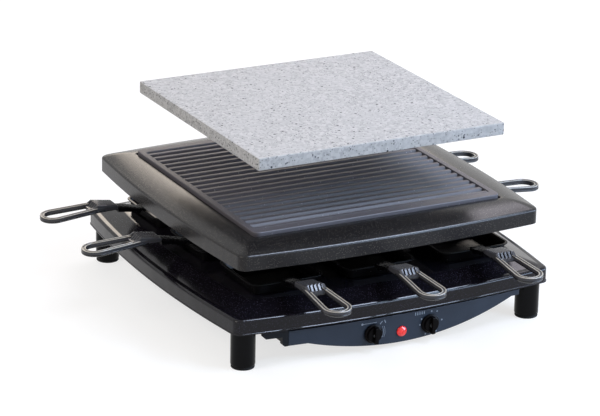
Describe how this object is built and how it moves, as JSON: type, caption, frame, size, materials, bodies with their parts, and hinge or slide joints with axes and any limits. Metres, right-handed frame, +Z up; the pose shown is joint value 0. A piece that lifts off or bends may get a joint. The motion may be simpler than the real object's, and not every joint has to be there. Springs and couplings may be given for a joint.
{
  "type": "raclette grill",
  "caption": "Square countertop raclette grill: pans slide out from under a heated hood that carries a ribbed cast plate and a natural stone slab.",
  "frame": {"origin": "on the table top, under the middle of the tray", "axes": "+X to the right and -Y to the front, as seen by who stands at the control panel; +Z up"},
  "size_m": [0.5852, 0.5792, 0.2255],
  "materials": {
    "enamel": "glossy black non-stick coat with fine pale specks",
    "hood_coat": "satin dark grey non-stick coat with fine pale specks",
    "cast_plate": "dark grey non-stick coat on cast aluminium",
    "stone": "honed pale granite with fine dark specks",
    "fascia": "satin blue-grey",
    "black_plastic": "glossy black",
    "dark_plastic": "matt black-grey",
    "rubber": "matt black",
    "grip_plastic": "silver-grey, satin gloss",
    "pan_coat": "glossy black non-stick coat",
    "steel": "bare steel",
    "black_steel": "black stove enamel",
    "ceramic": "unglazed white ceramic",
    "lens": "clear red, glowing"
  },
  "bodies": {
    "base": {"base_tray": "enamel", "bottom_cover": "dark_plastic", "control_fascia": "fascia", "control_housing": "dark_plastic", "wiring_box": "dark_plastic", "mains_terminal": "ceramic", "thermostat": "ceramic", "selector_switch": "dark_plastic", "lamp_holder": "black_plastic", "lamp_lens": "lens", "cord_gland": "black_plastic", "column": "black_steel", "element_terminal": "ceramic", "hood_carrier": "black_steel", "hood_frame": "hood_coat", "heating_element": "steel", "element_clip_left": "steel", "element_clip_right": "steel", "foot_front_left": "black_plastic", "foot_pad_front_left": "rubber", "hood_screw_front_left": "steel", "foot_front_right": "black_plastic", "foot_pad_front_right": "rubber", "hood_screw_front_right": "steel", "foot_back_left": "black_plastic", "foot_pad_back_left": "rubber", "hood_screw_back_left": "steel", "foot_back_right": "black_plastic", "foot_pad_back_right": "rubber", "hood_screw_back_right": "steel"},
    "pan_front_left": {"pan_front_left": "pan_coat", "pan_arm_front_left": "black_plastic", "pan_grip_front_left": "grip_plastic"},
    "pan_front_mid": {"pan_front_mid": "pan_coat", "pan_arm_front_mid": "black_plastic", "pan_grip_front_mid": "grip_plastic"},
    "pan_front_right": {"pan_front_right": "pan_coat", "pan_arm_front_right": "black_plastic", "pan_grip_front_right": "grip_plastic"},
    "pan_right_mid": {"pan_right_mid": "pan_coat", "pan_arm_right_mid": "black_plastic", "pan_grip_right_mid": "grip_plastic"},
    "pan_right_back": {"pan_right_back": "pan_coat", "pan_arm_right_back": "black_plastic", "pan_grip_right_back": "grip_plastic"},
    "pan_back_mid": {"pan_back_mid": "pan_coat", "pan_arm_back_mid": "black_plastic", "pan_grip_back_mid": "grip_plastic"},
    "pan_left_back": {"pan_left_back": "pan_coat", "pan_arm_left_back": "black_plastic", "pan_grip_left_back": "grip_plastic"},
    "pan_left_mid": {"pan_left_mid": "pan_coat", "pan_arm_left_mid": "black_plastic", "pan_grip_left_mid": "grip_plastic"},
    "plate": {"cast_plate": "cast_plate"},
    "stone": {"stone_slab": "stone"},
    "thermostat_dial": {"thermostat_knob": "black_plastic", "thermostat_shaft": "steel"},
    "selector_dial": {"selector_knob": "black_plastic", "selector_shaft": "steel"}
  },
  "joints": [
    {"name": "pan_front_left_slide", "type": "slide", "parent": "base", "child": "pan_front_left", "axis": [0, -1, 0], "range_m": [0, 0.13]},
    {"name": "pan_front_mid_slide", "type": "slide", "parent": "base", "child": "pan_front_mid", "axis": [0, -1, 0], "range_m": [0, 0.13]},
    {"name": "pan_front_right_slide", "type": "slide", "parent": "base", "child": "pan_front_right", "axis": [0, -1, 0], "range_m": [0, 0.13]},
    {"name": "pan_right_mid_slide", "type": "slide", "parent": "base", "child": "pan_right_mid", "axis": [1, 0, 0], "range_m": [0, 0.13]},
    {"name": "pan_right_back_slide", "type": "slide", "parent": "base", "child": "pan_right_back", "axis": [1, 0, 0], "range_m": [0, 0.13]},
    {"name": "pan_back_mid_slide", "type": "slide", "parent": "base", "child": "pan_back_mid", "axis": [0, 1, 0], "range_m": [0, 0.13]},
    {"name": "pan_left_back_slide", "type": "slide", "parent": "base", "child": "pan_left_back", "axis": [-1, 0, 0], "range_m": [0, 0.13]},
    {"name": "pan_left_mid_slide", "type": "slide", "parent": "base", "child": "pan_left_mid", "axis": [-1, 0, 0], "range_m": [0, 0.13]},
    {"name": "plate_lift", "type": "slide", "parent": "base", "child": "plate", "axis": [0, 0, 1], "range_m": [0, 0.06]},
    {"name": "stone_lift", "type": "slide", "parent": "plate", "child": "stone", "axis": [0, 0, 1], "range_m": [-0.0697, 0.03]},
    {"name": "thermostat_turn", "type": "hinge", "parent": "base", "child": "thermostat_dial", "pos_m": [-0.032, -0.2, 0.0216], "axis": [0, 1, 0], "range_deg": [-135, 135]},
    {"name": "selector_turn", "type": "hinge", "parent": "base", "child": "selector_dial", "pos_m": [0.04, -0.2, 0.0216], "axis": [0, 1, 0], "range_deg": [-135, 90]}
  ]
}
